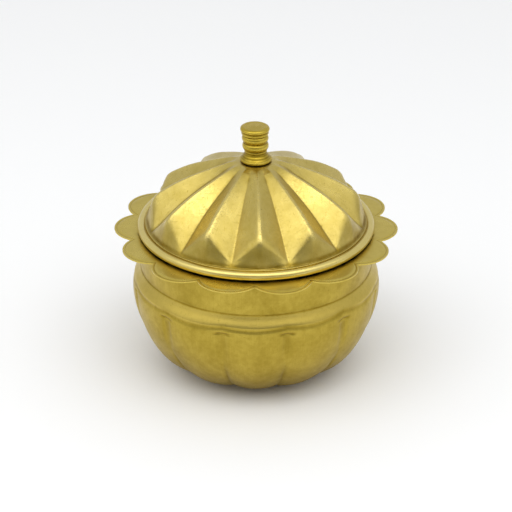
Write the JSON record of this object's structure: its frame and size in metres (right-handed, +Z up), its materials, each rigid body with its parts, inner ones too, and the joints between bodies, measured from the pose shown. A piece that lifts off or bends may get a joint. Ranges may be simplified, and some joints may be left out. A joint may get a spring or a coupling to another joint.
{
  "type": "spice box",
  "caption": "Round brass spice box: lobed bowl with a scalloped rim plate, fluted lift-off lid with a turned knob, and spice cups on a tray with a spoon inside.",
  "frame": {"origin": "on the table, under the middle of the box: centre of the bounding box's underside", "axes": "+Z up through the knob; +X to the right, seen from the front, which faces -Y; the bowl, rim plate and cups are symmetric left to right"},
  "size_m": [0.1916, 0.1878, 0.1744],
  "materials": {
    "satin_brass": "brushed satin, hand pressed",
    "rim_plate_brass": "satin, rolled sheet",
    "polished_brass": "hand polished with fine scratches",
    "rolled_brass": "bright polished",
    "steel_wire": "drawn",
    "inner_brass": "satin, spun",
    "turned_brass": "turned on a lathe",
    "dark_brass": "tarnished",
    "plated_steel": "zinc plated",
    "cup_brass": "spun and polished",
    "spoon_brass": "stamped and polished"
  },
  "bodies": {
    "bowl": {"bowl": "satin_brass", "rim_plate": "rim_plate_brass"},
    "lid": {"lid_dome": "polished_brass", "lid_rim": "rolled_brass", "lid_rim_wire": "steel_wire", "lid_locating_ring": "inner_brass", "knob": "turned_brass", "knob_seat_washer": "dark_brass", "knob_inner_washer": "plated_steel", "knob_screw": "plated_steel"},
    "tray": {"cup_tray": "inner_brass"},
    "cup_center": {"cup_center": "cup_brass"},
    "cup_1": {"cup_1": "cup_brass"},
    "cup_2": {"cup_2": "cup_brass"},
    "cup_3": {"cup_3": "cup_brass"},
    "cup_4": {"cup_4": "cup_brass"},
    "cup_5": {"cup_5": "cup_brass"},
    "cup_6": {"cup_6": "cup_brass"},
    "spoon": {"spoon": "spoon_brass"}
  },
  "joints": [
    {"name": "lid_lift", "type": "slide", "parent": "bowl", "child": "lid", "axis": [0, 0, 1], "range_m": [0, 0.15]},
    {"name": "tray_lift", "type": "slide", "parent": "bowl", "child": "tray", "axis": [0, 0, 1], "range_m": [0, 0.015]},
    {"name": "cup_center_lift", "type": "slide", "parent": "tray", "child": "cup_center", "axis": [0, 0, 1], "range_m": [0, 0.035]},
    {"name": "cup_1_lift", "type": "slide", "parent": "tray", "child": "cup_1", "axis": [0, 0, 1], "range_m": [0, 0.035]},
    {"name": "cup_2_lift", "type": "slide", "parent": "tray", "child": "cup_2", "axis": [0, 0, 1], "range_m": [0, 0.035]},
    {"name": "cup_3_lift", "type": "slide", "parent": "tray", "child": "cup_3", "axis": [0, 0, 1], "range_m": [0, 0.035]},
    {"name": "cup_4_lift", "type": "slide", "parent": "tray", "child": "cup_4", "axis": [0, 0, 1], "range_m": [0, 0.035]},
    {"name": "cup_5_lift", "type": "slide", "parent": "tray", "child": "cup_5", "axis": [0, 0, 1], "range_m": [0, 0.035]},
    {"name": "cup_6_lift", "type": "slide", "parent": "tray", "child": "cup_6", "axis": [0, 0, 1], "range_m": [0, 0.035]},
    {"name": "spoon_lift", "type": "slide", "parent": "cup_center", "child": "spoon", "axis": [0, 0, 1], "range_m": [0, 0.05]}
  ]
}
